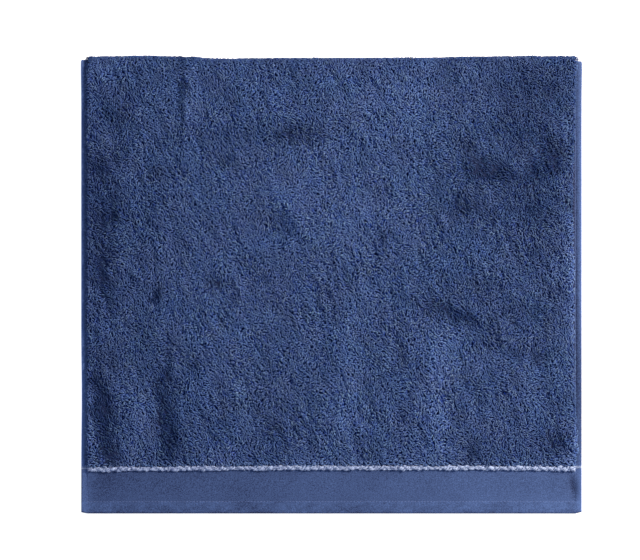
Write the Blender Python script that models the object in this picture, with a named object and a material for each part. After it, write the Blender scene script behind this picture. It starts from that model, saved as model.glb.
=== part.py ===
"""A terry hand towel, folded once across its length and lying flat.

The towel lies on the plane z = 0, with its width along X and its fold at +Y. The cloth is one
sheet: a deep pile with a narrow plain hem at each side, and at each end a raised row, a flat
woven border and a turned hem. Its section along Y is a table of heights, and the same table
serves the half that lies on top and the half underneath. Sizes are in millimetres.
"""

import math
from collections import namedtuple

import bmesh
import bpy

METRES = 0.001

# Driving dimensions of the folded towel.
WIDTH = 500.0
FOLDED_LENGTH = 457.5
BACK_END_SHORT = 1.5  # how far the hidden half's hem lies inside the front one

# The narrow hem down each side.
SIDE_HEM_WIDTH = 6.2
SIDE_HEM_ROUND = 0.7
CORNER_LIFT = 1.2  # the ends of the side hems are drawn up by this much

# Height of the mid-line's half circle at the fold, for the pile and for the side hems.
FOLD_RADIUS = 3.2
HEM_FOLD_RADIUS = 2.6
FOLD_BULGE_LENGTH = 42.0  # the top layer comes down from the fold in this distance
HEM_FOLD_SHORT = (3.5, 5.0)  # left, right: how far the hems' fold falls short of the pile's

# The section along the cloth, from the end of the hem. Heights are those of the cloth's middle
# above the surface, in the back and the front layer; the edge columns hold for the side hems.
# The shoulder is the distance in which the section changes beside a side hem.
Section = namedtuple("Section", "along thick back front edge_thick edge_back edge_front shoulder")
SECTIONS = (
    Section(0.0, 1.5, 0.90, 3.30, 1.5, 0.90, 3.30, 0.4),  # rounded end of the turned hem
    Section(0.9, 2.4, 1.20, 4.00, 2.4, 1.20, 4.00, 0.4),
    Section(11.4, 2.4, 1.20, 4.00, 2.4, 1.20, 4.00, 0.4),  # stitched edge of the turned hem
    Section(12.6, 1.4, 1.45, 4.15, 2.2, 1.20, 4.00, 0.4),
    Section(27.0, 1.4, 1.90, 4.40, 2.2, 1.10, 3.90, 0.4),  # middle of the flat border
    Section(41.4, 1.4, 2.50, 4.80, 2.2, 1.10, 3.90, 0.4),
    Section(48.2, 1.4, 2.50, 4.80, 2.2, 1.10, 3.90, 0.4),  # seat of the raised row
    Section(48.9, 3.5, 2.05, 6.05, 2.2, 1.10, 3.95, 2.0),  # the pile's face
    Section(52.0, 3.9, 2.05, 6.35, 2.2, 1.10, 4.00, 3.0),
    Section(62.0, 4.2, 2.10, 6.70, 2.2, 1.10, 4.10, 3.0),  # full pile
)
BORDER_FOOT, BORDER_MIDDLE, SEAT_LOW, SEAT_HIGH = SECTIONS[3:7]
FULL_PILE = SECTIONS[-1]
HEM_SEAM = SECTIONS[2]

# How far the fold falls back from the straight, across the towel.
FoldPoint = namedtuple("FoldPoint", "across back")
FOLD_LINE = (
    FoldPoint(-250.0, 0.6),
    FoldPoint(-215.0, 0.5),
    FoldPoint(-190.0, 0.1),
    FoldPoint(-150.0, 0.6),
    FoldPoint(-112.0, 2.6),
    FoldPoint(0.0, 2.1),
    FoldPoint(85.0, 1.9),
    FoldPoint(135.0, 0.9),
    FoldPoint(195.0, 0.0),
    FoldPoint(250.0, 0.4),
)

# The raised row bows a little across the towel: its middle lies further from the hem's end.
ROW_BOW = 1.2
ROW_TILT = 0.4

# The left side is drawn in a little at one place.
DRAWN_IN_DEPTH = 0.55
DRAWN_IN_AT = -112.0
DRAWN_IN_REACH = 38.0

# Soft swells of the top layer over the one beneath: middle, half lengths, turn and height.
Swell = namedtuple("Swell", "x y half_x half_y turn height")
SWELLS = (
    Swell(-150.0, 60.0, 70.0, 110.0, 0.0, 0.8),
    Swell(10.0, 10.0, 110.0, 150.0, 0.0, 1.1),
    Swell(150.0, 60.0, 70.0, 110.0, 0.0, 0.7),
    Swell(-200.0, -110.0, 16.0, 60.0, 4.0, 0.9),  # ridge between the two left troughs
    Swell(-119.0, -110.0, 22.0, 60.0, -3.0, 1.0),
    Swell(12.0, -85.0, 14.0, 75.0, 2.0, 1.0),  # ridges below the middle
    Swell(105.0, -105.0, 22.0, 65.0, -4.0, 1.2),
    Swell(195.0, -90.0, 34.0, 80.0, 6.0, 0.8),
    Swell(-65.0, 150.0, 24.0, 60.0, 0.0, 0.5),
    Swell(205.0, 120.0, 30.0, 70.0, 0.0, 0.5),
)
SWELL_FADE = 30.0  # swells die out in this distance before the border and the fold

# Grid of the sheet.
FIELD_STEPS = 27
BACK_FIELD_STEPS = 9
EASE_STEPS = 5
FOLD_STEPS = 8
COLUMN_STEP = 14.5
SHOULDER_COLUMNS = (0.13, 0.45, 1.0)  # shares of the pile's shoulder

# The raised rows.
ROW_WIDTH = 5.4
ROW_NECK_WIDTH = 4.4
ROW_LENGTH = 2 * (WIDTH / 2 - SIDE_HEM_WIDTH) - 1.6
BEAD_COUNT = 66
BEAD_STATIONS = ((0.0, 0.0), (0.3, 0.9), (0.7, 1.0))  # place in the bead, share of its swelling
ROW_PROFILE = ((-1.0, 0.0), (1.0, 0.0), (1.0, 0.5), (0.5, 1.0), (-0.5, 1.0), (-1.0, 0.5))  # sideways, up
ROW_CLEARANCE = 0.3
FRONT_ROW_HEIGHT = 2.3
FRONT_NECK_HEIGHT = 1.6
BACK_ROW_HEIGHT = 1.4
BACK_NECK_HEIGHT = 1.0

# Linear colours.
NAVY = (0.037, 0.058, 0.153, 1.0)
LAVENDER_WHITE = (0.55, 0.60, 0.80, 1.0)
CRISP_EDGE = math.radians(50.0)
EDGE_THINNING = 0.6  # share of its thickness that the cloth keeps at its outermost edge


def clear_scene():
    """Removes what the scene starts with."""
    for found in list(bpy.data.objects):
        bpy.data.objects.remove(found, do_unlink=True)


def fabric(name, colour):
    """A matt cloth material of one colour."""
    material = bpy.data.materials.new(name)
    material.use_nodes = True
    shader = material.node_tree.nodes["Principled BSDF"]
    shader.inputs["Base Color"].default_value = colour
    shader.inputs["Roughness"].default_value = 0.95
    shader.inputs["Metallic"].default_value = 0.0
    material.diffuse_color = colour
    return material


def smooth(share):
    """A share from 0 to 1, eased at both ends."""
    share = min(1.0, max(0.0, share))
    return share * share * (3.0 - 2.0 * share)


def mix(low, high, share):
    """The value that lies a share of the way from low to high."""
    return low + (high - low) * share


def fold_back(x):
    """How far the fold lies back from the straight line, at x."""
    for left, right in zip(FOLD_LINE, FOLD_LINE[1:]):
        if x <= right.across:
            share = (x - left.across) / (right.across - left.across)
            return mix(left.back, right.back, smooth(share))
    return FOLD_LINE[-1].back


def row_shift(x):
    """How far the raised row lies from its mean place, at x."""
    side = x / (WIDTH / 2)
    return ROW_BOW * (0.5 - side * side) + ROW_TILT * side


def inner_share(x, shoulder):
    """0 over the side hems, 1 past the shoulder inside them, rounded between the two."""
    inside = WIDTH / 2 - SIDE_HEM_WIDTH - abs(x)
    if inside <= 0.0:
        return 0.0
    return math.sqrt(1.0 - (1.0 - min(1.0, inside / shoulder)) ** 2)


def side_round(x):
    """Share of its thickness that the cloth keeps at x: its outermost edge is thinner."""
    inside = WIDTH / 2 - abs(x)
    return mix(EDGE_THINNING, 1.0, min(1.0, inside / SIDE_HEM_ROUND))


def swell_lift(x, y):
    """Height of the top layer's soft swells at a point."""
    lift = 0.0
    for swell in SWELLS:
        turn = math.radians(swell.turn)
        along_x = (x - swell.x) * math.cos(turn) + (y - swell.y) * math.sin(turn)
        along_y = (y - swell.y) * math.cos(turn) - (x - swell.x) * math.sin(turn)
        lift += swell.height * math.exp(-((along_x / swell.half_x) ** 2) - (along_y / swell.half_y) ** 2)
    field_low = FULL_PILE.along - FOLDED_LENGTH / 2
    low_fade = smooth((y - field_low) / SWELL_FADE)
    high_fade = smooth((FOLDED_LENGTH / 2 - FOLD_BULGE_LENGTH / 3 - y) / SWELL_FADE)
    return lift * low_fade * high_fade


def section_at(place):
    """The table's values at a distance from the hem's end, as one Section."""
    for low, high in zip(SECTIONS, SECTIONS[1:]):
        if place <= high.along:
            share = (place - low.along) / (high.along - low.along)
            return Section(*(mix(a, b, share) for a, b in zip(low, high)))
    return SECTIONS[-1]


def cloth_at(place, x, front):
    """Thickness and middle height of the cloth at a distance from the hem's end."""
    section = section_at(place)
    share = inner_share(x, section.shoulder)
    thick = mix(section.edge_thick, section.thick, share)
    if front:
        middle = mix(section.edge_front, section.front, share)
    else:
        middle = mix(section.edge_back, section.back, share)
    return thick, middle


def end_places():
    """Distances from the hem's end of the rows up to the full pile, with the border's halves split."""
    places = [section.along for section in SECTIONS]
    places.append(mix(BORDER_FOOT.along, BORDER_MIDDLE.along, 0.5))
    places.append(mix(BORDER_MIDDLE.along, SEAT_LOW.along, 0.5))
    return sorted(places)


def row_y(place, x, end_y):
    """Y of a row between the hem and the full pile, with the raised row's bow and the drawn-up corners."""
    above_seat = (FULL_PILE.along - place) / (FULL_PILE.along - SEAT_HIGH.along)
    y = end_y + place + row_shift(x) * smooth(place / SEAT_LOW.along) * smooth(above_seat)
    outside = (abs(x) - (WIDTH / 2 - SIDE_HEM_WIDTH)) / SIDE_HEM_WIDTH
    return y + CORNER_LIFT * max(0.0, outside) * (1.0 - smooth(place / HEM_SEAM.along))


def drawn_in(x, y):
    """X after the left side's slight drawing in."""
    pull = DRAWN_IN_DEPTH * math.exp(-(((y - DRAWN_IN_AT) / DRAWN_IN_REACH) ** 2))
    return x + pull * smooth(-2.0 * x / WIDTH)


def fold_shape(x):
    """Radius of the cloth's middle at the fold and the Y of the fold's axis, at x."""
    share = inner_share(x, FULL_PILE.shoulder)
    full = FOLDED_LENGTH / 2 - fold_back(x)
    short = HEM_FOLD_SHORT[0] if x < 0.0 else HEM_FOLD_SHORT[1]
    pile_axis = full - FOLD_RADIUS - FULL_PILE.thick / 2
    hem_axis = full - short - HEM_FOLD_RADIUS - FULL_PILE.edge_thick / 2
    return mix(HEM_FOLD_RADIUS, FOLD_RADIUS, share), mix(hem_axis, pile_axis, share)


def column(x):
    """The sheet's section at x: its outer and inner points, from the back hem's end round to the front's."""
    outer, inner = [], []
    radius, axis_y = fold_shape(x)
    field_thick, back_middle = cloth_at(FULL_PILE.along, x, front=False)
    _, front_middle = cloth_at(FULL_PILE.along, x, front=True)
    back_end = -FOLDED_LENGTH / 2 + BACK_END_SHORT
    front_end = -FOLDED_LENGTH / 2

    def add(y, z, thick, lean):
        """One row: the cloth's middle, its thickness, and how far its outer side has turned from down."""
        half = thick * side_round(x) / 2
        out_y, out_z = half * math.sin(lean), -half * math.cos(lean)
        outer.append((drawn_in(x, y), y + out_y, z + out_z))
        inner.append((drawn_in(x, y), y - out_y, z - out_z))

    for place in end_places():
        thick, middle = cloth_at(place, x, front=False)
        add(row_y(place, x, back_end), middle, thick, 0.0)
    field_y = row_y(FULL_PILE.along, x, back_end)
    for step in range(1, BACK_FIELD_STEPS):
        add(mix(field_y, axis_y, step / BACK_FIELD_STEPS), back_middle, field_thick, 0.0)
    for step in range(FOLD_STEPS + 1):
        lean = math.pi * step / FOLD_STEPS
        z = back_middle + radius * (1.0 - math.cos(lean))
        add(axis_y + radius * math.sin(lean), z, field_thick, lean)

    ease_end = axis_y - FOLD_BULGE_LENGTH
    for step in range(1, EASE_STEPS + 1):
        share = step / EASE_STEPS
        y = mix(axis_y, ease_end, share)
        z = mix(back_middle + 2.0 * radius, front_middle, smooth(share))
        add(y, z + swell_lift(x, y), field_thick, math.pi)
    field_y = row_y(FULL_PILE.along, x, front_end)
    for step in range(1, FIELD_STEPS):
        y = mix(ease_end, field_y, step / FIELD_STEPS)
        add(y, front_middle + swell_lift(x, y), field_thick, math.pi)
    for place in reversed(end_places()):
        thick, middle = cloth_at(place, x, front=True)
        y = row_y(place, x, front_end)
        add(y, middle + swell_lift(x, y), thick, math.pi)
    return outer, inner


def column_places():
    """X of each column: close together over a hem and the pile's shoulder, even between them."""
    edge = WIDTH / 2
    hem = edge - SIDE_HEM_WIDTH
    side = [edge, edge - SIDE_HEM_ROUND, hem]
    side += [hem - FULL_PILE.shoulder * share for share in SHOULDER_COLUMNS]
    inner = side[-1]
    steps = round(2 * inner / COLUMN_STEP)
    middle = [mix(-inner, inner, step / steps) for step in range(1, steps)]
    return [-x for x in side] + middle + side[::-1]


def towel_sheet(material):
    """The folded cloth as one closed body, bridged column by column."""
    mesh = bmesh.new()
    columns = []
    for x in column_places():
        outer, inner = column(x)
        columns.append([[mesh.verts.new(point) for point in side] for side in (outer, inner)])
    for left, right in zip(columns, columns[1:]):
        for side in (0, 1):
            for row in range(len(left[side]) - 1):
                corners = [left[side][row], right[side][row], right[side][row + 1], left[side][row + 1]]
                mesh.faces.new(corners if side == 0 else corners[::-1])
        for row in (0, -1):
            corners = [left[0][row], left[1][row], right[1][row], right[0][row]]
            mesh.faces.new(corners if row == 0 else corners[::-1])
    for edge_column in (columns[0], columns[-1]):
        outer, inner = edge_column
        for row in range(len(outer) - 1):
            mesh.faces.new([outer[row], outer[row + 1], inner[row + 1], inner[row]])
    return finished("towel", mesh, material)


def accent_row(name, front, material):
    """A raised row of beads across the towel, on its seat above the border."""
    if front:
        facing, neck, crest = 1.0, FRONT_NECK_HEIGHT, FRONT_ROW_HEIGHT
        end_y, seat_middle = -FOLDED_LENGTH / 2, SEAT_HIGH.front
    else:
        facing, neck, crest = -1.0, BACK_NECK_HEIGHT, BACK_ROW_HEIGHT
        end_y, seat_middle = -FOLDED_LENGTH / 2 + BACK_END_SHORT, SEAT_HIGH.back
    base = seat_middle + facing * (SEAT_HIGH.thick / 2 + ROW_CLEARANCE)
    row_y_mean = end_y + (SEAT_LOW.along + SEAT_HIGH.along) / 2
    mesh = bmesh.new()
    rings = []
    stations = [(bead + place, swell) for bead in range(BEAD_COUNT) for place, swell in BEAD_STATIONS]
    for place, swell in stations + [(BEAD_COUNT, 0.0)]:
        x = ROW_LENGTH * (place / BEAD_COUNT - 0.5)
        y = row_y_mean + row_shift(x)
        half_wide = mix(ROW_NECK_WIDTH, ROW_WIDTH, swell) / 2
        high = facing * mix(neck, crest, swell)
        ring = [(drawn_in(x, y), y + side * half_wide, base + up * high) for side, up in ROW_PROFILE]
        rings.append([mesh.verts.new(point) for point in ring])
    for left, right in zip(rings, rings[1:]):
        for corner in range(len(left)):
            after = (corner + 1) % len(left)
            mesh.faces.new([left[corner], left[after], right[after], right[corner]])
    mesh.faces.new(rings[0])
    mesh.faces.new(rings[-1][::-1])
    return finished(name, mesh, material)


def finished(name, mesh, material):
    """An object from a bmesh in millimetres, with its faces turned outwards and shaded smooth."""
    bmesh.ops.recalc_face_normals(mesh, faces=mesh.faces)
    bmesh.ops.scale(mesh, vec=(METRES, METRES, METRES), verts=mesh.verts)
    data = bpy.data.meshes.new(name)
    mesh.to_mesh(data)
    mesh.free()
    data.materials.append(material)
    data.shade_smooth()
    data.set_sharp_from_angle(angle=CRISP_EDGE)
    made = bpy.data.objects.new(name, data)
    bpy.context.scene.collection.objects.link(made)
    return made


def main():
    """Builds the towel and its two raised rows."""
    clear_scene()
    terry = fabric("navy_terry", NAVY)
    chenille = fabric("lavender_chenille", LAVENDER_WHITE)
    towel_sheet(terry)
    accent_row("accent_row_front", True, chenille)
    accent_row("accent_row_back", False, chenille)


main()
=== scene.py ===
"""Looks of a folded terry hand towel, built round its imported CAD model.

The towel lies on a pale floor with its fold at +Y and its woven border at -Y. Its cloth is one
folded sheet of flat weave. The pile on that sheet is made loop by loop, the raised row above the
border is a rope of twisted yarn, and the hems are sewn down with single stitches. Sizes are in
millimetres, and each mesh is scaled to metres when it is made.
"""

import logging
import math
from dataclasses import dataclass, field
from enum import Enum, IntEnum

import bpy
import numpy as np
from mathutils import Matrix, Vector


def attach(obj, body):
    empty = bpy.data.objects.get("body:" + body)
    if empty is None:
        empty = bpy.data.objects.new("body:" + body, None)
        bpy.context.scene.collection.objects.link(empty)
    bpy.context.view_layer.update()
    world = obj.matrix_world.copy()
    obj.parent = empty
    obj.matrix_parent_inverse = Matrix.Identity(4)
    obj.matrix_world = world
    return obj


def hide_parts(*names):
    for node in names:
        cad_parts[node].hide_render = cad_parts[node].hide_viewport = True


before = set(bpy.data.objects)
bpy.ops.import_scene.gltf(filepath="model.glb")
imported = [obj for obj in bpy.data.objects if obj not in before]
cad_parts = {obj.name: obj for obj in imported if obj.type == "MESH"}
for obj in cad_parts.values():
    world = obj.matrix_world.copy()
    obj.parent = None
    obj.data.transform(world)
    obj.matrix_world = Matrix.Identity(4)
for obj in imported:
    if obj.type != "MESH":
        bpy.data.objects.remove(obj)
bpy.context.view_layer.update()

LOG = logging.getLogger("hand_towel")
METRES = 0.001
BODY = "root"
TERRY_SLOT = "navy_terry"
CHENILLE_SLOT = "lavender_chenille"
BAKE_MAP = "OFBake"
COLOUR_MIX = {"data_type": "RGBA"}
MIX_SHARE, MIX_LOW, MIX_HIGH, MIX_OUT = 0, 6, 7, 2  # sockets of a colour mix, the last its output
WAVE_FACTOR = 20.0  # a wave texture multiplies its place by this
FLOOR_GAP = 0.02  # the cloth and its sewing keep this far above the floor

Array = np.ndarray
Table = tuple[tuple[float, ...], ...]


class Layer(Enum):
    """Which half of the folded towel a thing belongs to."""

    FRONT = "front"
    BACK = "back"


class Column(IntEnum):
    """Columns of the cloth's table of sections: the place, which is the distance from the hem's end; the
    thickness and middle heights of the back and front layer; the same three at the side hems; and the
    width of the shoulder in which the section changes beside a side hem."""

    PLACE = 0
    THICK = 1
    BACK = 2
    FRONT = 3
    HEM_THICK = 4
    HEM_BACK = 5
    HEM_FRONT = 6
    SHOULDER = 7


# ---- Numbers ----


def ease(share: Array) -> Array:
    """A share from 0 to 1, eased at both ends."""
    share = np.clip(share, 0.0, 1.0)
    return share * share * (3.0 - 2.0 * share)


def ramp(value: Array, start: float, reach: float) -> Array:
    """0 up to the start, and eased up to 1 over the reach that follows it."""
    return ease((value - start) / reach)


def bell(offset: Array) -> Array:
    """1 at no offset, falling off softly on both sides."""
    return np.exp(-(offset**2))


def rounded(share: Array) -> Array:
    """A share from 0 to 1 along a quarter of a circle, steep at first."""
    return np.sqrt(1.0 - (1.0 - np.clip(share, 0.0, 1.0)) ** 2)


def mix(low: Array, high: Array, share: Array) -> Array:
    """The value that lies a share of the way from low to high."""
    return low + (high - low) * share


def directions(vectors: Array) -> Array:
    """Vectors brought to a length of 1."""
    return vectors / np.linalg.norm(vectors, axis=1, keepdims=True)


def between_rows(table: Table, place: Array | float, column: int) -> Array:
    """A column of a table at each place, with the table's own places in its first column."""
    rows = np.array(table)
    return np.interp(place, rows[:, 0], rows[:, column])


def unevenness(x: Array, y: Array | float, cell: float, seed: int) -> Array:
    """Soft random unevenness over a surface.

    Args:
        x: first coordinate of each point.
        y: second coordinate of each point, or of all of them.
        cell: distance over which it changes.
        seed: picks the pattern.

    Returns:
        A value from -1 to 1 at each point.
    """
    count = 256
    grid = np.random.default_rng(seed).uniform(-1.0, 1.0, (count, count))
    across, along = x / cell, y / cell
    left, low = np.floor(across).astype(int), np.floor(along).astype(int)
    share_x, share_y = ease(across - left), ease(along - low)
    left, low = left % count, low % count
    right, high = (left + 1) % count, (low + 1) % count
    bottom = mix(grid[left, low], grid[right, low], share_x)
    top = mix(grid[left, high], grid[right, high], share_x)
    return mix(bottom, top, share_y)


def layered_unevenness(x: Array, y: Array, weights: dict[float, float], seed: int) -> Array:
    """Unevenness of several sizes at once.

    Args:
        x: first coordinate of each point.
        y: second coordinate of each point.
        weights: the weight of each size of patch, by its distance in millimetres.
        seed: picks the pattern.

    Returns:
        The weighted sum at each point.
    """
    total = np.zeros_like(x)
    for place, (cell, weight) in enumerate(weights.items()):
        total += weight * unevenness(x, y, cell, seed + place)
    return total


def linear(hex_colour: str) -> tuple[float, float, float, float]:
    """Turns an sRGB colour to linear.

    Args:
        hex_colour: an sRGB hex value such as 1a2b3c.

    Returns:
        Red, green, blue and full alpha.
    """
    parts = [int(hex_colour[start : start + 2], 16) / 255.0 for start in (0, 2, 4)]
    made = [part / 12.92 if part <= 0.04045 else ((part + 0.055) / 1.055) ** 2.4 for part in parts]
    return (*made, 1.0)


# ---- Finishes ----


def add_node(
    tree: bpy.types.NodeTree,
    kind: str,
    settings: dict | None = None,
    values: dict | None = None,
    links: dict | None = None,
) -> bpy.types.Node:
    """Adds a shader node.

    Args:
        tree: the node tree that it goes into.
        kind: the node's type, such as ShaderNodeMix.
        settings: properties of the node, by name.
        values: constant inputs, by socket name or number.
        links: output sockets that feed its inputs, by socket name or number.

    Returns:
        The node.
    """
    node = tree.nodes.new(kind)
    for name, value in (settings or {}).items():
        setattr(node, name, value)
    for socket, value in (values or {}).items():
        node.inputs[socket].default_value = value
    for socket, source in (links or {}).items():
        tree.links.new(source, node.inputs[socket])
    return node


def plain_material(
    name: str, colour_hex: str, roughness: float, specular: float
) -> tuple[bpy.types.Material, bpy.types.NodeTree, bpy.types.Node]:
    """A new material of one even colour.

    Args:
        name: the material's name.
        colour_hex: its colour, which the viewport shows too.
        roughness: roughness of its surface.
        specular: strength of its gloss.

    Returns:
        The material, its node tree and its principled shader.
    """
    material = bpy.data.materials.new(name)
    material.use_nodes = True
    material.diffuse_color = linear(colour_hex)
    shader = material.node_tree.nodes["Principled BSDF"]
    shader.inputs["Base Color"].default_value = linear(colour_hex)
    shader.inputs["Roughness"].default_value = roughness
    shader.inputs["Specular IOR Level"].default_value = specular
    return material, material.node_tree, shader


@dataclass(frozen=True)
class TerryLoops:
    """Uncut loops of soft-spun navy cotton with matt fibres. Light and shade are painted into their colour:
    each crest is painted pale, a painted highlight, and the gaps between the loops are painted a deep blue,
    a painted shade. Where the pile is brushed flat it is painted a greyer navy, a painted shade, and where
    it stands up it is painted paler. The dye took unevenly, so patches lean to teal or to violet."""

    name: str = "cotton_terry_loops"
    painted_depth_shade_hex: str = "002d9d"  # painted shade of the yarn down in the pile
    crest_hex: str = "8aa6c1"  # the very top of a loop, painted pale, a painted highlight
    dark_mottle_and_shade_hex: str = "737c8c"  # dark end of the tone: painted shade where the pile is brushed flat, at its outermost loops and over the fold, and the darker random mottle
    pale_mottle_and_light_hex: str = "ffffff"  # light end: painted light where it stands up or leans over the raised row, and the paler random mottle
    teal_hex: str = "f5ffff"  # what either dye leaves of the light
    violet_hex: str = "fffcf9"
    roughness: float = 1.0  # spun cotton has no gloss of its own
    specular: float = 0.0

    def material(self) -> bpy.types.Material:
        """Colour by the height on the loop, which paints shade down in the pile and a highlight on the
        crest, by how the pile is brushed there, which paints shade and light, and by its dye, which the
        mesh keeps.

        Returns:
            The material.
        """
        material, tree, shader = plain_material(self.name, self.crest_hex, self.roughness, self.specular)
        ranges = {
            "lift": (self.painted_depth_shade_hex, self.crest_hex),
            "tone": (self.dark_mottle_and_shade_hex, self.pale_mottle_and_light_hex),
            "dye": (self.teal_hex, self.violet_hex),
        }
        parts = []
        for label, (low_hex, high_hex) in ranges.items():
            value = add_node(tree, "ShaderNodeAttribute", {"attribute_name": label}).outputs["Fac"]
            ends = {MIX_LOW: linear(low_hex), MIX_HIGH: linear(high_hex)}
            part = add_node(tree, "ShaderNodeMix", COLOUR_MIX, ends, {MIX_SHARE: value})
            parts.append(part.outputs[MIX_OUT])
        colour = parts[0]
        for part in parts[1:]:
            product = add_node(
                tree,
                "ShaderNodeMix",
                {**COLOUR_MIX, "blend_type": "MULTIPLY"},
                {MIX_SHARE: 1.0},
                {MIX_LOW: colour, MIX_HIGH: part},
            )
            colour = product.outputs[MIX_OUT]
        tree.links.new(colour, shader.inputs["Base Color"])
        return material


@dataclass(frozen=True)
class FlatWeave:
    """Navy cotton in a tight plain weave, as in the border, the hems and the ground under the pile. Its
    threads lie flat, so it is smoother and paler than the pile, with a faint grain of crossing threads."""

    name: str = "cotton_flat_weave"
    # the dark end of the tone, which under the pile is painted shade
    dark_hex: str = "0a1438"
    light_hex: str = "546ea5"
    thread_mm: float = 1.5  # the real threads are 0.5 mm apart, too fine to show, so three count as one
    thread_waver: float = 0.6
    grain_depth_mm: float = 0.10
    grain_strength: float = 0.6
    fleck_mm: float = 0.8  # size of the flecks where a thread took more or less dye
    fleck_contrast: float = 1.9
    roughness: float = 0.85
    specular: float = 0.2

    def material(self) -> bpy.types.Material:
        """Crossing threads as a fine bump, and a colour that follows the cloth's tone, which carries
        painted light and shade, and its flecks.

        Returns:
            The material.
        """
        material, tree, shader = plain_material(self.name, self.light_hex, self.roughness, self.specular)
        place = add_node(tree, "ShaderNodeTexCoord").outputs["Object"]
        scale = 2.0 * math.pi / (self.thread_mm * METRES) / WAVE_FACTOR
        wavering = {"Scale": scale, "Distortion": self.thread_waver, "Detail": 1.0, "Detail Scale": 2.0}
        threads = {}
        for socket, direction in enumerate("XY"):
            settings = {"bands_direction": direction}
            wave = add_node(tree, "ShaderNodeTexWave", settings, wavering, {"Vector": place})
            threads[socket] = wave.outputs["Fac"]
        weave = add_node(tree, "ShaderNodeMath", {"operation": "MAXIMUM"}, {}, threads)
        fineness = {"Scale": 1.0 / (self.fleck_mm * METRES), "Detail": 2.0, "Roughness": 0.75}
        flecks = add_node(tree, "ShaderNodeTexNoise", {}, fineness, {"Vector": place})
        tone = add_node(tree, "ShaderNodeAttribute", {"attribute_name": "tone"})
        uneven = add_node(
            tree,
            "ShaderNodeMath",
            {"operation": "MULTIPLY_ADD"},
            {1: self.fleck_contrast, 2: -self.fleck_contrast / 2.0},
            {0: flecks.outputs["Fac"]},
        )
        shade = add_node(
            tree,
            "ShaderNodeMath",
            {"operation": "ADD", "use_clamp": True},
            {},
            {0: tone.outputs["Fac"], 1: uneven.outputs[0]},
        )
        ends = {MIX_LOW: linear(self.dark_hex), MIX_HIGH: linear(self.light_hex)}
        colour = add_node(tree, "ShaderNodeMix", COLOUR_MIX, ends, {MIX_SHARE: shade.outputs[0]})
        grain = {"Strength": self.grain_strength, "Distance": self.grain_depth_mm * METRES}
        bump = add_node(tree, "ShaderNodeBump", {}, grain, {"Height": weave.outputs[0]})
        tree.links.new(colour.outputs[MIX_OUT], shader.inputs["Base Color"])
        tree.links.new(bump.outputs["Normal"], shader.inputs["Normal"])
        return material


@dataclass(frozen=True)
class TwistedChenille:
    """White cotton yarn with a lavender cast, twisted into a soft rope. Its crests are nearly white, and
    the grooves between the plies are painted a navy lilac, a painted shade."""

    name: str = "cotton_chenille_rope"
    # painted shade in the grooves between the plies
    groove_hex: str = "4c598a"
    crest_hex: str = "b2c4e7"
    roughness: float = 0.9
    specular: float = 0.15

    def material(self) -> bpy.types.Material:
        """Colour from the painted shade of the groove to the crest of each ply, scaled by the ply's own
        tone.

        Returns:
            The material.
        """
        material, tree, shader = plain_material(self.name, self.crest_hex, self.roughness, self.specular)
        kept = {}
        for socket, label in enumerate(("tone", "lift")):
            kept[socket] = add_node(tree, "ShaderNodeAttribute", {"attribute_name": label}).outputs["Fac"]
        product = {"operation": "MULTIPLY", "use_clamp": True}
        share = add_node(tree, "ShaderNodeMath", product, {}, kept)
        ends = {MIX_LOW: linear(self.groove_hex), MIX_HIGH: linear(self.crest_hex)}
        colour = add_node(tree, "ShaderNodeMix", COLOUR_MIX, ends, {MIX_SHARE: share.outputs[0]})
        tree.links.new(colour.outputs[MIX_OUT], shader.inputs["Base Color"])
        return material


@dataclass(frozen=True)
class SewingThread:
    """Polyester-cotton sewing thread, dyed to match, with the slight sheen of a hard twist."""

    name: str = "sewing_thread"
    colour_hex: str = "536292"
    roughness: float = 0.6
    specular: float = 0.5

    def material(self) -> bpy.types.Material:
        """One even colour."""
        return plain_material(self.name, self.colour_hex, self.roughness, self.specular)[0]


@dataclass(frozen=True)
class StudioPaper:
    """Matt white background paper, which shows as an even white."""

    name: str = "background_paper"
    colour_hex: str = "f7f7f7"
    glow_hex: str = "ffffff"
    glow: float = 0.78  # it lies on a light table, which takes the towel's shadow away
    roughness: float = 1.0
    specular: float = 0.0

    def material(self) -> bpy.types.Material:
        """One even colour, lit from below.

        Returns:
            The material.
        """
        material, _, shader = plain_material(self.name, self.colour_hex, self.roughness, self.specular)
        shader.inputs["Emission Color"].default_value = linear(self.glow_hex)
        shader.inputs["Emission Strength"].default_value = self.glow
        return material


# ---- Meshes ----


def mesh_object(
    name: str,
    points: Array,
    faces: list[Array],
    material: bpy.types.Material,
    attributes: dict[str, Array] | None = None,
    bake_map: Array | None = None,
) -> bpy.types.Object:
    """An object from points in millimetres.

    Args:
        name: the object's name.
        points: one row of X, Y and Z a point.
        faces: arrays of point numbers, one array for each number of corners.
        material: its material.
        attributes: values kept at the points, by name.
        bake_map: a place on the unfolded surface for each point, from 0 to 1.

    Returns:
        The object, shaded smooth and linked to the scene.
    """
    mesh = bpy.data.meshes.new(name)
    corners = np.concatenate([part.ravel() for part in faces]).astype(np.int32)
    sizes = np.concatenate([np.full(len(part), part.shape[1], np.int32) for part in faces])
    mesh.vertices.add(len(points))
    mesh.vertices.foreach_set("co", (points * METRES).astype(np.float32).ravel())
    mesh.loops.add(len(corners))
    mesh.loops.foreach_set("vertex_index", corners)
    mesh.polygons.add(len(sizes))
    mesh.polygons.foreach_set("loop_start", np.concatenate([[0], np.cumsum(sizes)[:-1]]).astype(np.int32))
    mesh.update(calc_edges=True)
    mesh.validate()
    mesh.shade_smooth()
    for label, values in (attributes or {}).items():
        kept = mesh.attributes.new(label, "FLOAT", "POINT")
        kept.data.foreach_set("value", values.astype(np.float32))
    if bake_map is not None:
        layer = mesh.uv_layers.new(name=BAKE_MAP)
        layer.data.foreach_set("uv", bake_map[corners].astype(np.float32).ravel())
    mesh.materials.append(material)
    made = bpy.data.objects.new(name, mesh)
    bpy.context.scene.collection.objects.link(made)
    return made


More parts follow.
